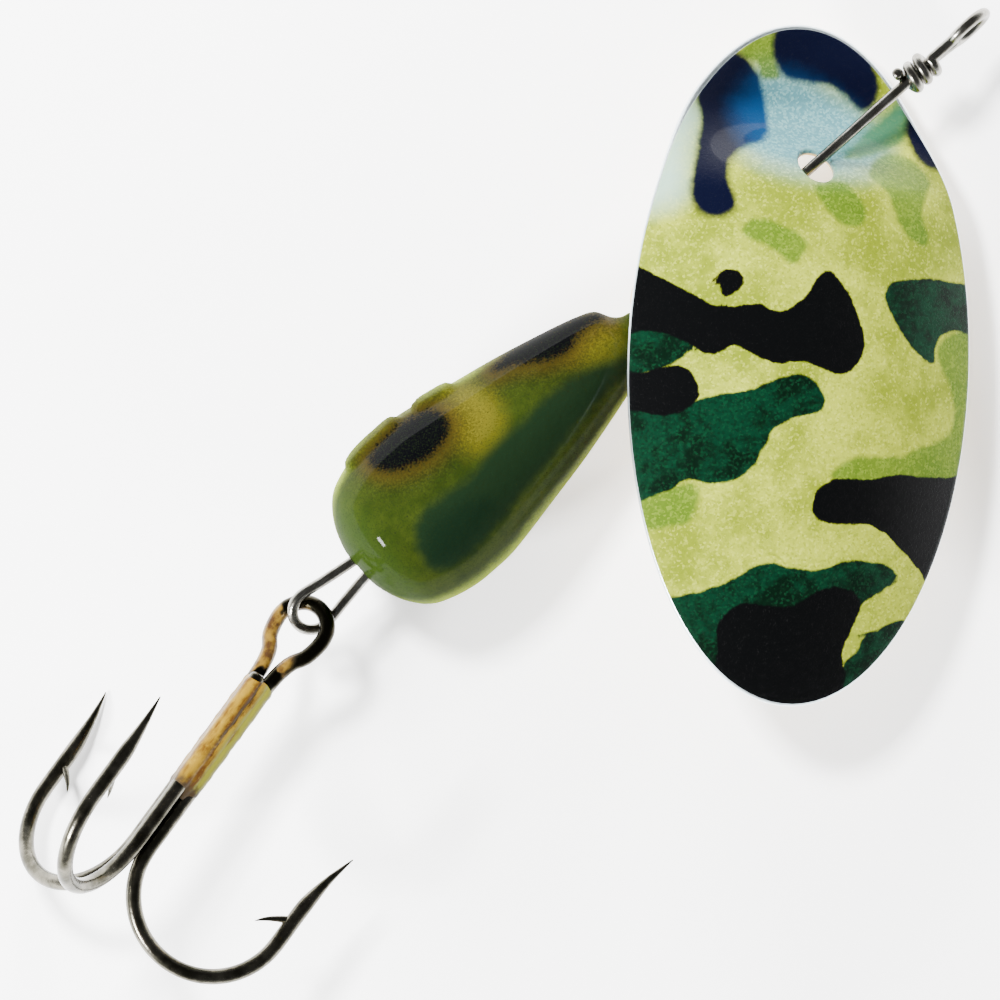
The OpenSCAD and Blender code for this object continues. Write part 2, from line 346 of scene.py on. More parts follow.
def wire_path():
    """The whole wire: from the end tucked in the body, round the hook loop, along the shaft,
    round the line eye and back in a wrap to its cut end."""
    half_turn = 102
    ring = arc((LOOP_MID[0], 0), LOOP_R, 180 - half_turn, 180 + half_turn, 40)
    loop = [(SHAFT_REAR, 0), (1.5, 0.2), (0.6, LOOP_LEG - 0.06), (-1.2, LOOP_LEG + 0.23)] + ring
    loop += [(-1.2, -LOOP_LEG - 0.23), (0.6, -LOOP_LEG + 0.02), (2.9, -LOOP_LEG)]
    flat = spline(loop, 4)
    loop = np.c_[flat, np.zeros(len(flat))] @ turn((1, 0, 0), LOOP_TILT).T
    shaft = np.array([(x, 0, 0) for x in np.linspace(SHAFT_REAR + 0.3, WRAP_FRONT - 0.2, 40)])
    eye_mid = SHAFT_REACH - WIRE_R - EYE_R
    ring = arc((eye_mid, 0), EYE_R, -150, 150, 44)
    eye = [(WRAP_FRONT, 0), (WRAP_FRONT + 0.25, -0.12)] + ring + [(WRAP_FRONT + 0.3, 0.5)]
    eye = np.array([(x, y, 0) for x, y in eye]) @ turn((1, 0, 0), 90 - EYE_LEAN).T
    steps = 90
    start = 90 - EYE_LEAN
    length = WRAP_FRONT - WRAP_REAR - WIRE_R - WRAP_MARGIN
    wrap = [(WRAP_FRONT - WRAP_MARGIN - length * s, WRAP_R * math.cos(a), WRAP_R * math.sin(a))
            for s in np.linspace(0, 1, steps)
            for a in [math.radians(start + 360 * WRAP_TURNS * s)]]
    outward = unit(np.array([0, wrap[-1][1], wrap[-1][2]]))
    tag = np.array(wrap[-1]) + np.cross((1, 0, 0), outward) * TAG_LENGTH + outward * TAG_LIFT
    points = np.vstack([loop[::-1], shaft, eye, wrap, [tag]])
    return spline(tidy_path(points, shortest=0.08), 3)


def wire_material():
    n = Nodes("stainless_wire")
    where = n.place()
    along = n.vector("MULTIPLY", where, (0.35, 6, 6))
    drawn, _ = n.noise(along, 5, 4)
    smudge, _ = n.noise(where, 0.9, 3)
    tone = n.mix(n.fade(smudge, 0.3, 0.75), (0.2, 0.19, 0.16), (0.46, 0.45, 0.41))
    tone = n.mix(n.fade(drawn, 0.35, 0.8), tone, (0.11, 0.1, 0.08))
    rough = n.math("MULTIPLY_ADD", drawn, 0.16, 0.16)
    return n.finish(tone, rough, n.bump(drawn, 0.006), Metallic=1.0)


def make_wire():
    path = wire_path()
    vertices, faces = bar_mesh(path, np.full(len(path), WIRE_R))
    wire = add_mesh("bent_wire", vertices, faces)
    wire.data.materials.append(wire_material())
    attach(wire, "wire_and_body")
    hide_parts("shaft_wire", "line_eye", "eye_wrap", "hook_loop")


# ---- Body ----

BODY_R = 4.12
# Half of the body's section, as (distance from the tail, share of BODY_R)
BODY_PROFILE = [(0, 0), (0.05, 0.26), (0.5, 0.56), (1.23, 0.79), (2.1, 0.905), (3.4, 0.985),
                (4.6, 1), (6, 0.983), (8.8, 0.853), (11.1, 0.74), (13.6, 0.588), (15, 0.487),
                (15.75, 0.4), (16.15, 0.24), (16.5, 0.165), (16.9, 0.14)]
PAD_AT = [(4.2, 1.05), (7.7, 0.45)]  # middle of each raised pad, and half its straight length
PAD_ROUND = 0.62
PAD_MARGIN, PAD_RAMP = 0.12, 0.3
PAD_H = 0.3
PAD_TURN = math.radians(18)
SKIN_FROM_R = 1.5  # nearer to the shaft are only the socket and the ends, without pads
SOCKET_R = 0.8

# Outlines of the body's paint seen from above, as (distance from the tail, distance left of
# the shaft)
DARK_STRIPE = [(15, -0.7), (13.4, 0), (11.9, 0.2), (9.9, 0.1), (8, 0), (6.5, -0.2), (4.8, 0),
               (3.5, -0.1), (2.7, -0.9), (2.4, -2), (3, -2.7), (4.4, -2.9), (5.8, -2.8),
               (7, -2.6), (8.7, -2.3), (10.4, -2), (12.2, -1.7), (13.9, -1.6), (15.6, -1.6),
               (16.2, -0.9)]
STRIPE_CORE = [(3.1, -1.2), (3.8, -0.8), (5.3, -0.9), (6.2, -1.3), (6.5, -1.9), (5.8, -2.2),
               (4.4, -2.5), (3.2, -2.5), (2.7, -1.9)]
BLACK_SPOT = [(3.7, 3.4), (4.9, 3.6), (6.3, 3.5), (7.2, 3.1), (7.4, 2.4), (6.8, 1.9),
              (5.8, 1.8), (4.7, 2.1), (3.9, 2.6)]
BLACK_STREAK = [(10.6, 2.7), (11.7, 2.8), (13.1, 2.6), (14.2, 2.3), (15.1, 1.9), (15.9, 1.3),
                (15.2, 1.4), (14.4, 1.4), (13.7, 1.2), (12.9, 1.4), (12.1, 1.9), (11.3, 2.4)]
GOLD_PATCHES = [[(7.5, 2.6), (8.4, 3.2), (9.3, 2.6), (9.4, 1.5), (8.7, 0.7), (7.6, 0.7),
                 (7.4, 1.6)],
                [(14, 1.1), (15.3, 1.2), (15.8, 0.6), (15.2, 0.1), (14.3, 0.3), (13.8, 0.7)]]


def make_body():
    profile = spline(BODY_PROFILE, 10)
    inner = SOCKET_R / BODY_R
    outside = [(x, r * BODY_R) for x, r in profile if r > inner or x > 1]
    mouth_x = outside[0][0]
    socket = [(2.6, 0.3), (2.6, 0.72), (2.5, SOCKET_R), (1.2, SOCKET_R),
              (mouth_x + 0.16, SOCKET_R), (mouth_x + 0.05, SOCKET_R + 0.03)]
    nose = [(16.93, 0.5), (16.9, 0.36), (16.8, 0.27), (16.3, 0.26)]
    vertices, faces = revolve(socket + outside + nose, 192)
    angle = np.arctan2(vertices[:, 2], vertices[:, 1])
    radius = np.hypot(vertices[:, 1], vertices[:, 2])
    lift = np.zeros(len(vertices))
    skin = radius > SKIN_FROM_R
    for at, half in PAD_AT:
        around = (angle - PAD_TURN) * radius
        along = np.maximum(np.abs(vertices[:, 0] - at) - half, 0)
        distance = np.hypot(along, around)
        lift += PAD_H * smooth_step((PAD_ROUND + PAD_MARGIN - distance) / PAD_RAMP) * skin
    vertices[:, 1] *= 1 + lift / np.maximum(radius, TINY)
    vertices[:, 2] *= 1 + lift / np.maximum(radius, TINY)
    body = add_mesh("painted_body", vertices, faces)
    flat = vertices[:, :2]
    paint_attribute(body, "dark_stripe", flat, [DARK_STRIPE])
    paint_attribute(body, "stripe_core", flat, [STRIPE_CORE])
    paint_attribute(body, "black_marks", flat, [BLACK_SPOT, BLACK_STREAK])
    paint_attribute(body, "gold", flat, GOLD_PATCHES)
    body.data.materials.append(body_material())
    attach(body, "wire_and_body")
    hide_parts("weighted_body")


def body_material():
    n = Nodes("body_paint")
    where = n.place()
    stretched = n.vector("MULTIPLY", where, (0.45, 1, 1))
    broad, _ = n.noise(stretched, 0.45, 3)
    mottle, _ = n.noise(where, 1.6, 5, 0.65)
    grain, _ = n.noise(where, 9, 2, 0.6)
    wobble = n.math("MULTIPLY", n.math("SUBTRACT", mottle, 0.5), 0.9)
    mist = n.math("MULTIPLY", n.math("SUBTRACT", grain, 0.5), 1.1)
    split = n.add("ShaderNodeSeparateXYZ")
    n.link(where, split.inputs[0])
    radius = n.math("SQRT", n.math("ADD", n.math("POWER", split.outputs[1], 2),
                                   n.math("POWER", split.outputs[2], 2)))
    lime_rim_light, olive = (0.15, 0.2, 0.012), (0.008, 0.014, 0.002)
    base = n.mix(n.fade(n.math("ADD", broad, wobble), 0.25, 0.75), olive, (0.015, 0.022, 0.003))
    # Yellow-green where the surface turns edge-on to the camera overhead: the body's yellow-green
    # paint, kept to a band round the sides as a painted rim of reflected light.
    height = n.math("DIVIDE", split.outputs[2], n.math("MAXIMUM", radius, 0.3))
    edge = n.math("ADD", n.math("ABSOLUTE", height), n.math("MULTIPLY", wobble, 0.25))
    base = n.mix(n.fade(edge, 0.5, 0.08), base, lime_rim_light)
    tail_end = n.math("ADD", split.outputs[0], wobble)
    base = n.mix(n.math("MULTIPLY", n.fade(tail_end, 2.4, 0.2), 0.6), base, (0.018, 0.035, 0.005))
    gold = n.math("ADD", n.attribute("gold"), wobble)
    base = n.mix(n.math("MULTIPLY", n.fade(gold, 1.1, -0.6), 0.75), base, (0.062, 0.053, 0.005))
    stripe = n.math("ADD", n.attribute("dark_stripe"), n.math("MULTIPLY", wobble, 0.5))
    base = n.mix(n.fade(stripe, 0.3, -0.35), base, (0.0035, 0.0085, 0.0035))
    core = n.math("ADD", n.attribute("stripe_core"), mist)
    base = n.mix(n.math("MULTIPLY", n.fade(core, 0.5, -0.4), 0.7), base, (0.002, 0.006, 0.003))
    black = n.math("ADD", n.attribute("black_marks"), mist)
    dust = n.math("MULTIPLY", n.fade(grain, 0.36, 0.6), 0.75)
    base = n.mix(n.math("MULTIPLY", n.fade(black, 2.4, 0.2), dust), base, (0.004, 0.0033, 0.001))
    halo = n.math("MULTIPLY", n.fade(black, 1.2, 0.1), 0.7)
    base = n.mix(halo, base, (0.02, 0.0125, 0.002))
    base = n.mix(n.fade(black, 0.38, -0.1), base, (0.0007, 0.0007, 0.001))
    soot = n.fade(n.noise(where, 13, 2, 0.6)[0], 0.5, 0.66)
    base = n.mix(n.math("MULTIPLY", soot, 0.45), base, (0.004, 0.007, 0.002))
    speck = n.fade(n.cells(where, 2.1, "Distance"), 0.1, 0.06)
    rare = n.fade(n.noise(where, 0.7, 1)[0], 0.5, 0.6)
    specks = n.math("MULTIPLY", n.math("MULTIPLY", speck, rare), 0.8)
    base = n.mix(specks, base, (0.004, 0.006, 0.002))
    peel = n.math("ADD", n.noise(where, 1.1, 2)[0], n.math("MULTIPLY", grain, 0.05))
    return n.finish(base, n.math("MULTIPLY_ADD", grain, 0.1, 0.35), n.bump(peel, 0.05),
                    Specular_IOR_Level=0.0, Coat_Weight=0.07, Coat_Roughness=0.05, Coat_IOR=1.45)


# ---- Beads ----

BEAD_BORE_R = 0.3
BEAD_MOUTH = 0.08


def bead_profile(middle, radius, bore):
    """A turned bead with a rounded mouth at each end of its bore."""
    start = math.degrees(math.asin((bore + BEAD_MOUTH) / radius))
    ball = [(middle - radius * math.cos(math.radians(a)), radius * math.sin(math.radians(a)))
            for a in np.linspace(start, 180 - start, 40)]
    end = ball[0][0] - middle
    mouth = [(end + 0.015, bore + 0.045), (end + 0.05, bore + 0.012), (end + 0.1, bore)]
    rear = [(middle + x, r) for x, r in mouth]
    front = [(middle - x, r) for x, r in mouth]
    return ball + front + rear[::-1]


def brass_material():
    n = Nodes("brass_bead")
    where = n.place()
    rings, _ = n.noise(n.vector("MULTIPLY", where, (9, 0.4, 0.4)), 2.2, 3)
    tarnish, _ = n.noise(where, 1.3, 4)
    tone = n.mix(n.fade(tarnish, 0.35, 0.75), (0.82, 0.62, 0.27), (0.62, 0.42, 0.14))
    rough = n.math("MULTIPLY_ADD", rings, 0.14, 0.13)
    return n.finish(tone, rough, n.bump(rings, 0.012), Metallic=1.0)


def make_bead(name, middle, node, material):
    low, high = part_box(node)
    radius = (high.z - low.z) / 2 / MM
    vertices, faces = revolve(bead_profile(middle, radius, BEAD_BORE_R), 72, closed=True)
    bead = add_mesh(name, vertices, faces)
    bead.data.materials.append(material)
    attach(bead, node)
    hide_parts(node)


# ---- Blade ----

BLADE_L, BLADE_W, BLADE_T = 31.3, 16.2, 0.45
DISH, LOBE_DROP = 2.2, 1.2
HOLE_R, HOLE_OFFSET, BLADE_MID_B = 0.8, 8.9, -0.3
STEP_START, STEP_END = 1.5, -3.5  # where the dish gives way to the lobe above the hole
LIP, RIM_BULGE = 0.12, 0.9  # rounding of the hole's edge, and of the rim as a share of BLADE_T / 2
# Its columns are the directions to the tip, right of the long axis, and out of the paint
BLADE_TURN = turn((0, 0, 1), 226.1) @ turn((0, 1, 0), -5) @ turn((1, 0, 0), -16)


def blade_height(a, b):
    """Height of the middle surface: a dish, and a lobe above the hole dished the other way."""
    share = smooth_step((STEP_START - a) / (STEP_START - STEP_END))
    crown = 1 - ((a - HOLE_OFFSET) * 2 / BLADE_L)**2 - ((b - BLADE_MID_B) * 2 / BLADE_W)**2
    return DISH * crown * (1 - 2 * share) - LOBE_DROP * share


def blade_point(a, b, side):
    """A point on the sheet: side 1 is its upper face, -1 its lower face and 0 its middle."""
    step = 0.01
    slope_a = (blade_height(a + step, b) - blade_height(a - step, b)) / (2 * step)
    slope_b = (blade_height(a, b + step) - blade_height(a, b - step)) / (2 * step)
    upright = np.stack([-slope_a, -slope_b, np.ones_like(a)], -1)
    upright /= np.linalg.norm(upright, axis=-1, keepdims=True)
    middle = np.stack([a, b, blade_height(a, b) - blade_height(0.0, 0.0)], -1)
    return middle + side * BLADE_T / 2 * upright


def blade_reach(angle):
    """Distance from the hole's centre to the blade's outline in a direction."""
    c, s = np.cos(angle) / (BLADE_L / 2), np.sin(angle) / (BLADE_W / 2)
    p, q = -HOLE_OFFSET / (BLADE_L / 2), -BLADE_MID_B / (BLADE_W / 2)
    half, product = p * c + q * s, c * c + s * s
    return (-half + np.sqrt(half * half - product * (p * p + q * q - 1))) / product


def make_blade():
    spokes, rings, rim = 288, 84, 6
    angle = np.arange(spokes) * 2 * math.pi / spokes
    reach = blade_reach(angle)
    edge = BLADE_T / 2
    shares = np.linspace(0, 1, rings)**1.15
    inner, outer = HOLE_R + LIP, reach - edge * RIM_BULGE
    layers = []
    for side in (1, -1):
        order = shares if side > 0 else shares[::-1]
        for share in order:
            r = inner + (outer - inner) * share
            layers.append(blade_point(r * np.cos(angle), r * np.sin(angle), side))
        out = side > 0
        for k in range(1, rim):
            w = math.pi * k / rim
            r = outer + edge * RIM_BULGE * math.sin(w) if out else inner - LIP * math.sin(w)
            level = math.cos(w) if out else -math.cos(w)
            layers.append(blade_point(r * np.cos(angle), r * np.sin(angle), level))
    local = np.concatenate(layers)
    faces = tube_faces(len(layers), spokes, closed=True)
    blade = add_mesh("painted_blade", local @ BLADE_TURN.T + HOLE, faces)
    on_back = np.zeros(len(local))
    on_back[(rings + rim // 2) * spokes:-(rim // 2) * spokes] = 1
    store(blade, "back", on_back)
    on_edge = np.zeros(len(local))
    on_edge[rings * spokes:(rings + rim - 1) * spokes] = 1
    store(blade, "edge", on_edge)
    for name, outlines in BLADE_PAINT.items():
        paint_attribute(blade, name, local[:, :2], outlines)
    blade.data.materials.append(blade_material())
    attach(blade, "blade")
    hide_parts("blade")


# Outlines of the camouflage, and of one whitish patch at the edge level with the hole, left of the
# long axis, which is a painted reflection; as (distance from the hole towards the tip, distance
# right of the long axis), in millimetres on the blade
BLADE_PAINT = {
    "black": [
        [(4.6, -9), (5.6, -7), (6.2, -5.9), (6.65, -5), (6.7, -4), (6.55, -3), (6.85, -2),
         (6.3, -1), (5.6, -0.5), (4.9, 0), (5, 0.6), (5.6, 1.1), (6.4, 1.6), (7.4, 2), (8.2, 2.1),
         (8.9, 1.9), (9.4, 1.4), (9.5, 0.8), (9.3, 0), (9.05, -0.9), (9.2, -2), (8.9, -3),
         (8.5, -4), (8.95, -4.9), (8.6, -5.8), (8.1, -6.8), (8, -8), (8.2, -9.2)],
        [(5, -4.4), (5.1, -3.9), (5.6, -3.6), (6, -3.9), (6.3, -4.4), (6, -4.65), (5.75, -4.6),
         (5.7, -5.1), (5.3, -4.8)],
        [(9.6, -9.2), (9.85, -8), (9.6, -7), (9.5, -6.3), (9.9, -5.7), (10.6, -5.4), (11.2, -5.6),
         (11.7, -6.4), (11.8, -7.2), (11.6, -8.2), (11.7, -9.2)],
        [(15.5, 0), (14.8, 0.2), (14.3, 0.9), (14.2, 2), (14.1, 3), (13.8, 4.2), (13.8, 5.5),
         (13.7, 7), (13.3, 8.6), (16, 8.6), (18.6, 6.6), (18.1, 5.8), (17.4, 4.95), (16.7, 3.95),
         (16.2, 2.9), (16.25, 2), (16.3, 1), (16.1, 0.2)],
        [(20.5, -3.5), (20.1, -2.9), (20.1, -1.9), (20.1, -0.6), (19.7, 0.1), (19.2, 0.8),
         (19.1, 1.8), (19.4, 2.6), (20, 2.75), (20.8, 2.5), (21.9, 2.1), (22.5, 2.2), (23.4, 2.4),
         (25.5, 1.5), (26, -1), (25, -3), (23, -3.8), (22, -3.7), (21.3, -3.95)]],
    "dark": [
        [(7.8, -9.2), (7.9, -7), (8.2, -6), (8.7, -5.4), (8.9, -6), (9.4, -6.5), (9.7, -7.2),
         (10, -8), (10, -9.2)],
        [(11.4, -9.2), (11.5, -6.6), (11, -5.4), (10.65, -4), (10.4, -3), (9.9, -2), (9.65, -1),
         (9.8, -0.4), (10.3, 0.1), (10.8, 0.3), (11.3, 0), (11.6, -1), (12.2, -2), (13.2, -2.5),
         (14.1, -3), (14.6, -3.7), (14.8, -4.8), (14.6, -5.6), (15, -6.2), (15.4, -7),
         (15.6, -8.4)],
        [(5.7, 3.05), (5.1, 3.5), (4.85, 4.5), (4.75, 5.6), (4.8, 7), (4.9, 8.5), (6.9, 8.5),
         (7, 6.8), (7.4, 6.1), (8, 5.85), (8.6, 5.8), (8.4, 5.1), (7.5, 4.1), (6.6, 3.5)],
        [(20.1, -6.8), (19.8, -5.4), (19.5, -4.5), (19.2, -3.7), (18.5, -2.6), (18.2, -1.7),
         (18.4, -0.4), (18.35, 0.7), (17.9, 2), (17.85, 3.3), (18.1, 4.3), (18.5, 4.6),
         (18.95, 4.1), (19.5, 3.2), (20, 2.6), (22, 1), (25, -0.5), (24.8, -3), (23, -5)],
        [(21.05, 2.8), (21, 3.5), (20.6, 4.2), (20.3, 5.4), (21.5, 5.4), (24.5, 2.6), (23.2, 2.1),
         (22.4, 2.3), (22, 2.75), (21.5, 2.95)]],
    "mid": [
        [(15.3, -8.6), (15.2, -6.8), (14.8, -5.9), (14.9, -5.1), (15.8, -5.2), (16.5, -5.4),
         (16.8, -6.2), (17, -7.2), (16.9, -8.2)],
        [(7, 7), (7.4, 6.3), (8, 5.9), (8.8, 6.2), (9.5, 6.7), (10.6, 7), (11.7, 6.8), (12.2, 6),
         (12.6, 4.9), (13, 4.1), (13.1, 2.6), (13.3, 1.6), (14.2, 0.8), (14.4, 3), (14, 5),
         (14, 8.4), (10, 8.6), (7, 8.4)],
        [(3.2, -3.8), (2.7, -3.4), (2.6, -2.7), (2.85, -2), (3.4, -0.8), (3.9, -0.8), (4.5, -1.1),
         (4.7, -1.5), (4.2, -2.1), (3.8, -2.8), (3.6, -3.5)],
        [(1, -0.5), (0.6, 0.4), (0.7, 1.2), (1.2, 1.7), (2, 2.1), (2.6, 1.9), (2.75, 1.2),
         (2.4, 0.5), (1.8, 0)],
        [(0.1, 2.4), (-0.8, 3.1), (-1.1, 4.1), (-0.6, 5.1), (0.3, 5.6), (1.2, 5.2), (2, 5.1),
         (3, 5.4), (3.3, 5), (2.9, 4.2), (2, 3.6), (1, 3.2)],
        [(-0.6, 1.4), (-1.7, 2.6), (-2.8, 3.8), (-3.5, 4.6), (-3, 5.2), (-2, 4.8), (-1.3, 3.9),
         (-0.7, 2.5)],
        [(-5.3, -3.4), (-6.6, -1.8), (-5.2, -1.5), (-4.3, -1.2), (-4.2, -2.1), (-4.8, -2.4)]],
    "navy": [
        [(-6.2, -1.8), (-5.4, -1.7), (-4.8, -1.4), (-4.3, -0.9), (-4.15, 0), (-4.1, 1),
         (-3.8, 1.8), (-3, 2.7), (-3.3, 3.3), (-4.1, 3.5), (-5, 3.2), (-5.7, 2.9), (-6.7, 2.3),
         (-7.5, 1), (-7.4, -1)],
        [(-5.4, -3.6), (-5, -2.9), (-4.3, -2.2), (-3.2, -1.8), (-2.2, -1.7), (-1.3, -2.1),
         (-0.8, -3.2), (-0.1, -4), (0.8, -4.3), (1.9, -4), (2.4, -4.2), (2.7, -5), (2.4, -5.7),
         (1.6, -6), (0.7, -5.9), (-0.2, -5.6), (-1.2, -5.3), (-2.2, -5.1), (-3.2, -5.3),
         (-4.6, -4.7)],
        [(-3.2, 4.7), (-2.2, 4.7), (-1.3, 4.9), (-0.8, 5.2), (-0.4, 5.8), (-0.5, 6.6), (-2, 6.2),
         (-3.3, 5.5)]],
    "teal": [
        [(-3.2, -3.3), (-4.4, -2), (-4.3, 0), (-3.3, 2), (-2.2, 3), (-0.9, 3.2), (-0.1, 1.4),
         (0, -0.8), (-0.6, -2.8), (-2, -3.4)]],
    # Not camouflage: whitish glare along the edge beside the hole, a painted reflection.
    "pale_reflection": [
        [(2.2, -8.4), (-1, -7), (-2.8, -5.8), (-2.2, -5.2), (-0.4, -5.9), (1.6, -6.3),
         (2.3, -7.2)]],
    "deep": [
        [(-0.9, 1.5), (-1.9, 2.5), (-2.9, 3.7), (-3.7, 4.5), (-3, 5), (-2.1, 4.6), (-1.4, 3.8),
         (-0.9, 2.6)]],
}


def blade_material():
    n = Nodes("blade_paint")
    where = n.place()
    broad, _ = n.noise(where, 0.28, 3)
    mottle, _ = n.noise(where, 1.5, 4, 0.6)
    grain, _ = n.noise(where, 9, 3, 0.65)
    flake = n.cells(where, 10)
    split = n.add("ShaderNodeSeparateColor")
    n.link(flake, split.inputs[0])
    glint, shade = split.outputs[0], split.outputs[1]
    wobble = n.math("MULTIPLY", n.math("SUBTRACT", mottle, 0.5), 0.28)
    ragged = n.math("MULTIPLY", n.math("SUBTRACT", grain, 0.5), 0.08)
    rough_edge = n.math("ADD", wobble, ragged)

    def layer(name, low=0.07, high=-0.07):
        return n.fade(n.math("ADD", n.attribute(name), rough_edge), low, high)

    base = n.mix(n.fade(n.math("ADD", broad, wobble), 0.35, 0.65), (0.098, 0.125, 0.004),
                 (0.205, 0.235, 0.016))
    base = n.mix(n.math("MULTIPLY", n.fade(glint, 0.6, 1.0), 0.3), base, (0.38, 0.41, 0.055))
    base = n.mix(n.math("MULTIPLY", n.fade(shade, 0.55, 1.0), 0.45), base, (0.08, 0.105, 0.003))
    near_teal = n.attribute("teal")
    teal = n.fade(n.math("ADD", near_teal, wobble), 1.5, -0.7)
    sky = n.mix(n.fade(glint, 0.3, 1.0), (0.045, 0.12, 0.135), (0.09, 0.2, 0.2))
    base = n.mix(teal, base, sky)
    # Whitish glare along the edge beside the hole: a painted reflection.
    pale_reflection = n.fade(n.math("ADD", n.attribute("pale_reflection"), wobble), 0.9, -0.9)
    base = n.mix(n.math("MULTIPLY", pale_reflection, 0.85), base, (0.2, 0.32, 0.27))
    deep = n.fade(n.math("ADD", n.attribute("deep"), wobble), 0.7, -0.5)
    mid = n.mix(n.fade(glint, 0.3, 1.0), (0.03, 0.065, 0.004), (0.062, 0.105, 0.008))
    base = n.mix(n.math("MULTIPLY", layer("mid", 0.14, -0.2), 0.85), base, mid)
    base = n.mix(n.math("MULTIPLY", deep, 0.85), base, (0.012, 0.06, 0.035))
    patchy = n.fade(n.math("ADD", broad, n.math("MULTIPLY", wobble, 2.5)), 0.42, 0.6)
    dark = n.mix(patchy, (0.0005, 0.0035, 0.0015), (0.0007, 0.0115, 0.005))
    dark = n.mix(n.math("MULTIPLY", n.fade(glint, 0.55, 1.0), 0.5), dark, (0.002, 0.024, 0.009))
    dark = n.mix(n.math("MULTIPLY", n.fade(shade, 0.5, 1.0), 0.6), dark, (0.0006, 0.004, 0.002))
    base = n.mix(layer("dark"), base, dark)
    lit = n.math("ADD", near_teal, n.math("MULTIPLY", wobble, 2))
    blue = n.mix(n.fade(lit, 0.9, -1.3), (0.001, 0.0014, 0.006), (0.0015, 0.019, 0.06))
    base = n.mix(layer("navy", 0.22, -0.22), base, blue)
    base = n.mix(layer("black", 0.05, -0.05), base, (0.0008, 0.0009, 0.001))
    plain = n.mix(n.fade(mottle, 0.3, 0.8), (0.72, 0.55, 0.25), (0.6, 0.43, 0.17))
    back = n.attribute("back")
    base = n.mix(back, base, plain)
    bare = n.fade(n.math("ADD", n.attribute("edge"), ragged), 0.35, 0.6)
    base = n.mix(bare, base, (0.75, 0.85, 0.88))
    n.link(n.math("MAXIMUM", back, bare), n.shader.inputs["Metallic"])
    rough = n.math("MULTIPLY_ADD", grain, 0.12, 0.32)
    normal = n.bump(n.math("ADD", n.math("MULTIPLY", glint, 0.35), grain), 0.012)
    return n.finish(base, rough, normal, Specular_IOR_Level=0.08, Coat_Weight=0.18,
                    Coat_Roughness=0.06, Coat_IOR=1.4)


# ---- Hook ----

# The hook's own frame: its origin is on the shank's centre line, near the lower end of the
# braze, and X points down the shank to the bends
HOOK_AT = np.array([-12.48, -2.05, 1.45])
HOOK_TURN = turn((0, 0, 1), 192.3) @ turn((0, 1, 0), -7.2)
HOOK_ANGLES = (-8, 112, 229)
HOOK_EYE_TURN = 25.6
HOOK_R, BUNDLE_R = 0.365, 0.44
HOOK_GAP, BEND_H = 7.74, 3.24
BEND_R = (HOOK_GAP - BUNDLE_R) / 2
SHANK_TOP = -6.5
EYE_RING_R = (3.3 - 2 * HOOK_R) / 2
EYE_RING_H = HOOK_R + EYE_RING_R - 10.57


def arm_outline():
    """One arm as (distance out from the shank, distance down it)."""
    outline = [(BUNDLE_R, SHANK_TOP + 0.6), (BUNDLE_R, -3), (BUNDLE_R, 0), (BUNDLE_R, 2.6)]
    outline += arc((BUNDLE_R + BEND_R, BEND_H), BEND_R, 180, 0, 14)
    return outline + [(HOOK_GAP, 1.9), (HOOK_GAP + 0.03, 0.9), (HOOK_GAP + 0.2, -0.4),
                      (HOOK_GAP + 0.38, -1.2), (HOOK_GAP + 0.56, -1.9)]


POINT_RADII = [HOOK_R * 0.96, HOOK_R * 0.55, HOOK_R * 0.3, HOOK_R * 0.08]
ARM_RADII = [HOOK_R] * (len(arm_outline()) - len(POINT_RADII)) + POINT_RADII
TIP_R = 0.02


def arm(angle):
    """One arm's path in the hook's own frame."""
    w = math.radians(angle)
    return [(down, out * math.cos(w), out * math.sin(w)) for out, down in arm_outline()]


def hook_place(points):
    """From the hook's own frame to millimetres from the tail."""
    return np.asarray(points, float) @ HOOK_TURN.T + HOOK_AT


def barb_mesh(angle):
    """A barb on the inner side of the point: a thin sharp cone sunk in the wire."""
    root, length = np.array([2.1, HOOK_GAP - 0.3, 0]), 1.45
    away = unit(np.array([0.62, -0.78, 0]))
    path = [root + away * (length * s) + np.array([0, -0.12 * s * (1 - s) * 4, 0])
            for s in np.linspace(-0.25, 1, 9)]
    radii = [0.2 * (1 - s)**0.8 + 0.012 for s in np.linspace(0, 1, 9)]
    vertices, faces = bar_mesh(path, radii, 12)
    return vertices @ turn((1, 0, 0), angle).T, faces


def hook_steel():
    n = Nodes("hook_wire")
    where = n.place()
    drawn, _ = n.noise(where, 5, 4)
    stain, _ = n.noise(where, 1.2, 4, 0.6)
    tone = n.mix(n.fade(stain, 0.35, 0.7), (0.05, 0.047, 0.034), (0.15, 0.14, 0.11))
    local = n.vector("SUBTRACT", where, tuple(HOOK_AT))
    down = n.vector("DOT_PRODUCT", local, tuple(HOOK_TURN[:, 0]))
    across = n.vector("DOT_PRODUCT", local, tuple(HOOK_TURN[:, 1]))
    blotch, _ = n.noise(where, 0.8, 2)
    reach = n.math("ADD", down, n.math("MULTIPLY", n.math("SUBTRACT", blotch, 0.5), 5))
    share = n.math("MULTIPLY", n.fade(reach, -6.2, -6.6), n.fade(reach, -9.4, -8.9))
    side = n.math("ADD", across, n.math("MULTIPLY", n.math("ADD", down, 7.5), -0.3))
    share = n.math("MULTIPLY", share, n.fade(side, 0.9, 0.4))
    paint = n.mix(n.fade(stain, 0.4, 0.62), (0.03, 0.013, 0.004), (0.13, 0.075, 0.009))
    above = n.fade(down, -5.8, -6.2)
    tone = n.mix(above, tone, (0.02, 0.018, 0.011))
    tone = n.mix(n.math("MULTIPLY", share, 0.9), tone, paint)
    metal = n.math("SUBTRACT", 1.0, n.math("MULTIPLY", share, 0.9))
    n.link(metal, n.shader.inputs["Metallic"])
    return n.finish(tone, n.math("MULTIPLY_ADD", drawn, 0.18, 0.14), n.bump(drawn, 0.008))


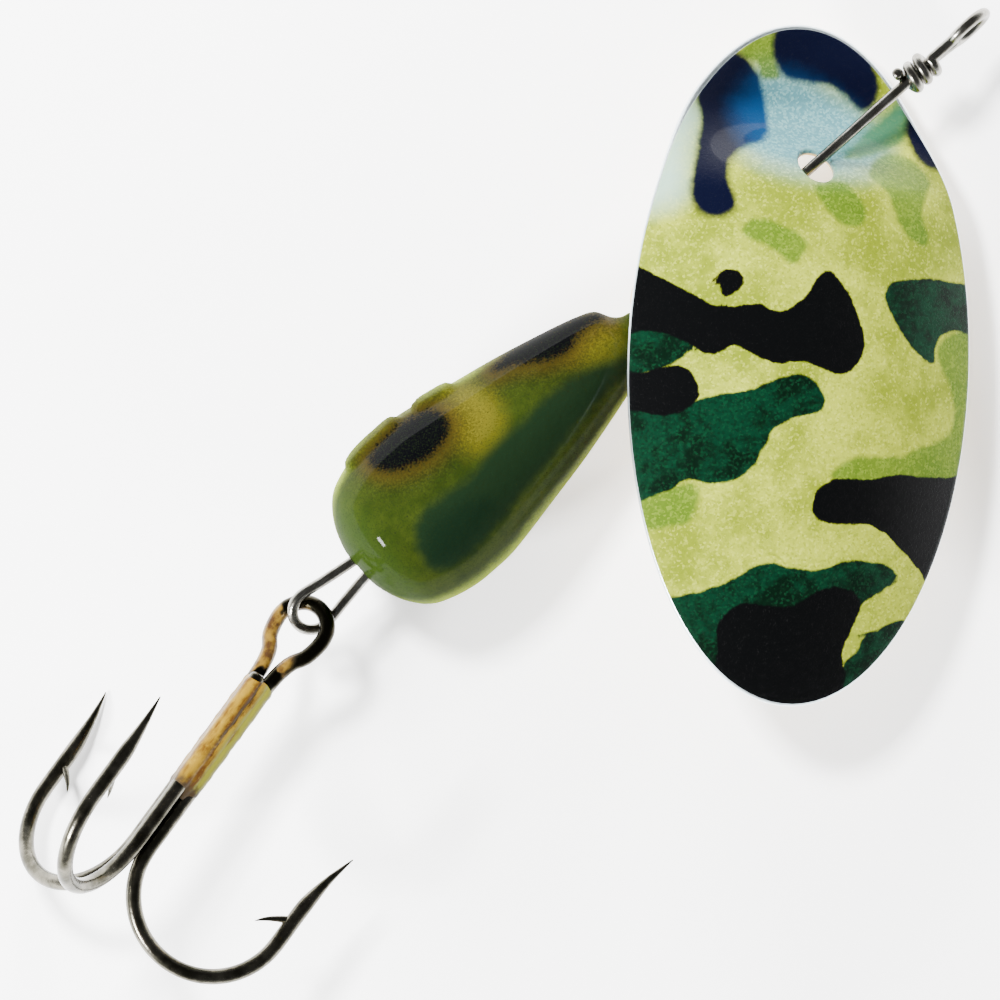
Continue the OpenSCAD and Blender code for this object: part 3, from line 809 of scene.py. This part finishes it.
def shank_paint():
    n = Nodes("shank_paint")
    where = n.place()
    local = n.vector("SUBTRACT", where, tuple(HOOK_AT))
    down = n.vector("DOT_PRODUCT", local, tuple(HOOK_TURN[:, 0]))
    across = n.vector("DOT_PRODUCT", local, tuple(HOOK_TURN[:, 1]))
    along = n.add("ShaderNodeCombineXYZ")
    n.link(n.math("MULTIPLY", down, 0.3), along.inputs[0])
    n.link(across, along.inputs[1])
    n.link(n.vector("DOT_PRODUCT", local, tuple(HOOK_TURN[:, 2])), along.inputs[2])
    streaks, _ = n.noise(along.outputs[0], 2.2, 4, 0.6)
    fine, _ = n.noise(where, 6, 3)
    tone = n.mix(n.fade(streaks, 0.36, 0.6), (0.05, 0.02, 0.003), (0.15, 0.09, 0.007))
    tone = n.mix(n.math("MULTIPLY", n.fade(fine, 0.5, 0.75), 0.4), tone, (0.2, 0.13, 0.014))
    right = n.math("ADD", across, n.math("MULTIPLY", n.math("SUBTRACT", streaks, 0.5), 0.9))
    tone = n.mix(n.fade(right, 0.3, 0.55), tone, (0.12, 0.115, 0.012))
    middle = n.math("ABSOLUTE", n.math("SUBTRACT", right, 0.12))
    upper = n.fade(n.math("ADD", down, n.math("MULTIPLY", fine, 3)), 0.2, -1.5)
    dark = n.math("MULTIPLY", n.fade(middle, 0.16, 0.05), n.math("MULTIPLY", upper, 0.85))
    tone = n.mix(dark, tone, (0.012, 0.006, 0.002))
    end = n.fade(n.math("ADD", down, n.math("MULTIPLY", fine, 0.8)), -0.1, 0.5)
    tone = n.mix(end, tone, (0.03, 0.02, 0.01))
    return n.finish(tone, n.math("MULTIPLY_ADD", fine, 0.2, 0.28), n.bump(streaks, 0.05),
                    Specular_IOR_Level=0.1, Coat_Weight=0.12, Coat_Roughness=0.12)


def make_hooks():
    steel = hook_steel()
    facing = math.radians(HOOK_EYE_TURN)
    lean = (math.cos(facing), math.sin(facing))
    back = -BUNDLE_R / 2
    legs = [(0.62, SHANK_TOP - 0.75), (1.08, EYE_RING_H + 0.95), (1.27, EYE_RING_H + 0.1)]
    ring = arc((0, EYE_RING_H), EYE_RING_R, -20, -160, 12)
    eye = [(h, s * lean[0] - back * lean[1], s * lean[1] + back * lean[0])
           for s, h in legs + ring + [(-s, h) for s, h in legs[::-1]]]
    path = arm(HOOK_ANGLES[0])[::-1] + eye + arm(HOOK_ANGLES[2])
    radii = ARM_RADII[::-1] + [HOOK_R] * len(eye) + ARM_RADII
    wires = [("double_hook_wire", "double_hook", path, radii, (HOOK_ANGLES[0], HOOK_ANGLES[2])),
             ("single_hook_wire", "single_hook", arm(HOOK_ANGLES[1]), ARM_RADII,
              (HOOK_ANGLES[1],))]
    for name, node, path, radii, barbs in wires:
        fine = spline(np.c_[path, radii], 4)
        parts = [bar_mesh(fine[:, :3], np.maximum(fine[:, 3], TIP_R))]
        parts += [barb_mesh(angle) for angle in barbs]
        vertices, faces = join(parts)
        hook = add_mesh(name, hook_place(vertices), faces)
        hook.data.materials.append(steel)
        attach(hook, "treble_hook")
        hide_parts(node)


BRAZE_CORE_R, BRAZE_FILM = 0.62, 0.035


def bundle_outline(angle, film):
    """Distance from the shank's middle to the outside of the three wires and their braze."""
    best = BRAZE_CORE_R
    for wire in HOOK_ANGLES:
        gap = math.cos(angle - math.radians(wire)) * BUNDLE_R
        aside = abs(math.sin(angle - math.radians(wire)) * BUNDLE_R)
        reach = HOOK_R + film
        if aside < reach and gap > 0:
            best = max(best, gap + math.sqrt(reach**2 - aside**2))
    return best


def make_shank():
    sides = 72
    # As (distance down the shank, share of the full thickness)
    stations = [(-5.75, 0.35), (-5.9, 0.8), (-5.7, 0.97), (-5.2, 1), (-4, 1.01), (-3, 1),
                (-2, 1.01), (-1, 1), (-0.2, 1), (0.05, 0.97), (0.25, 0.9), (0.6, 0.78)]
    line = spline(stations, 4)
    vertices = []
    for down, share in line:
        for k in range(sides):
            w = 2 * math.pi * k / sides
            ripple = 0.012 * math.sin(5.3 * down + 2 * w) + 0.01 * math.sin(11 * down - 3 * w)
            r = bundle_outline(w, BRAZE_FILM + ripple) * share
            vertices.append((down, r * math.cos(w), r * math.sin(w)))
    faces = tube_faces(len(line), sides) + end_faces(len(line), sides)
    shank = add_mesh("painted_shank", hook_place(vertices), faces)
    shank.data.materials.append(shank_paint())
    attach(shank, "treble_hook")
    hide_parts("hook_braze")


# ---- Stage ----

VIEW_SPAN = 45.5  # width of the view
VIEW_TURN = -41.6  # degrees
VIEW_MIDDLE = np.array([6.85, -1.91, 0])


def make_camera():
    """The camera looks straight down on the lure through a long lens."""
    data = bpy.data.cameras.new("camera")
    data.lens = 400
    data.sensor_width = 36
    data.clip_start, data.clip_end = 0.01, 10
    distance = VIEW_SPAN * data.lens / data.sensor_width
    camera = bpy.data.objects.new("camera", data)
    camera.location = to_frame(VIEW_MIDDLE + (0, 0, distance))
    camera.rotation_euler = (0, 0, math.radians(VIEW_TURN))
    bpy.context.scene.collection.objects.link(camera)
    bpy.context.scene.camera = camera


def area_light(name, place, size, power, aim, mirrored=True):
    """A rectangular light. Glossy surfaces show it only if it is mirrored."""
    data = bpy.data.lights.new(name, "AREA")
    data.shape, data.size, data.size_y = "RECTANGLE", size[0] * MM, size[1] * MM
    data.energy = power
    light = bpy.data.objects.new(name, data)
    light.location = to_frame(place)
    light.visible_glossy = mirrored
    ahead = Vector(to_frame(aim)) - light.location
    light.rotation_euler = ahead.to_track_quat("-Z", "Y").to_euler()
    bpy.context.scene.collection.objects.link(light)


def make_stage():
    half = 1.5  # metres
    below = 0.0001  # metres between the lowest point and the floor
    mesh = bpy.data.meshes.new("floor")
    mesh.from_pydata([(-half, -half, 0), (half, -half, 0), (half, half, 0), (-half, half, 0)],
                     [], [(0, 1, 2, 3)])
    floor = bpy.data.objects.new("floor", mesh)
    floor.location.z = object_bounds()[0][2] - below
    bpy.context.scene.collection.objects.link(floor)
    n = Nodes("floor")
    grain, _ = n.noise(n.place(), 0.05, 3)
    n.shader.inputs["Emission Color"].default_value = (1, 1, 1, 1)
    n.shader.inputs["Emission Strength"].default_value = 0.5
    floor.data.materials.append(n.finish(n.mix(grain, (0.92, 0.92, 0.92), (0.95, 0.95, 0.95)), 0.8))
    make_world()
    aim = (8, 0, 0)
    area_light("key", (-150, 20, 95), (40, 24), 1.3, aim)
    area_light("rim", (100, 140, 60), (60, 60), 1.2, aim, mirrored=False)
    area_light("fill", (60, -170, 60), (70, 70), 0.5, aim, mirrored=False)
    area_light("top", (10, 110, 200), (36, 36), 2.2, aim, mirrored=False)


def make_world():
    """A studio that is dim overhead, so flat glossy paint stays deep, and bright lower down."""
    world = bpy.data.worlds.new("studio")
    bpy.context.scene.world = world
    world.use_nodes = True
    nodes, links = world.node_tree.nodes, world.node_tree.links
    where = nodes.new("ShaderNodeTexCoord")
    split = nodes.new("ShaderNodeSeparateXYZ")
    ramp = nodes.new("ShaderNodeMapRange")
    ramp.interpolation_type = "SMOOTHSTEP"
    links.new(where.outputs["Generated"], split.inputs[0])
    links.new(split.outputs["Z"], ramp.inputs["Value"])
    ramp.inputs["From Min"].default_value = 0.15
    ramp.inputs["From Max"].default_value = 0.6
    ramp.inputs["To Min"].default_value = 1.1
    ramp.inputs["To Max"].default_value = 0.14
    background = nodes["Background"]
    background.inputs["Color"].default_value = (0.95, 0.98, 1, 1)
    links.new(ramp.outputs["Result"], background.inputs["Strength"])


make_camera()
make_wire()
make_body()
brass = brass_material()
make_bead("brass_bearing_bead", BEARING_X, "bearing_bead", brass)
make_bead("brass_thrust_bead", THRUST_X, "thrust_bead", brass)
make_blade()
make_hooks()
make_shank()
make_stage()
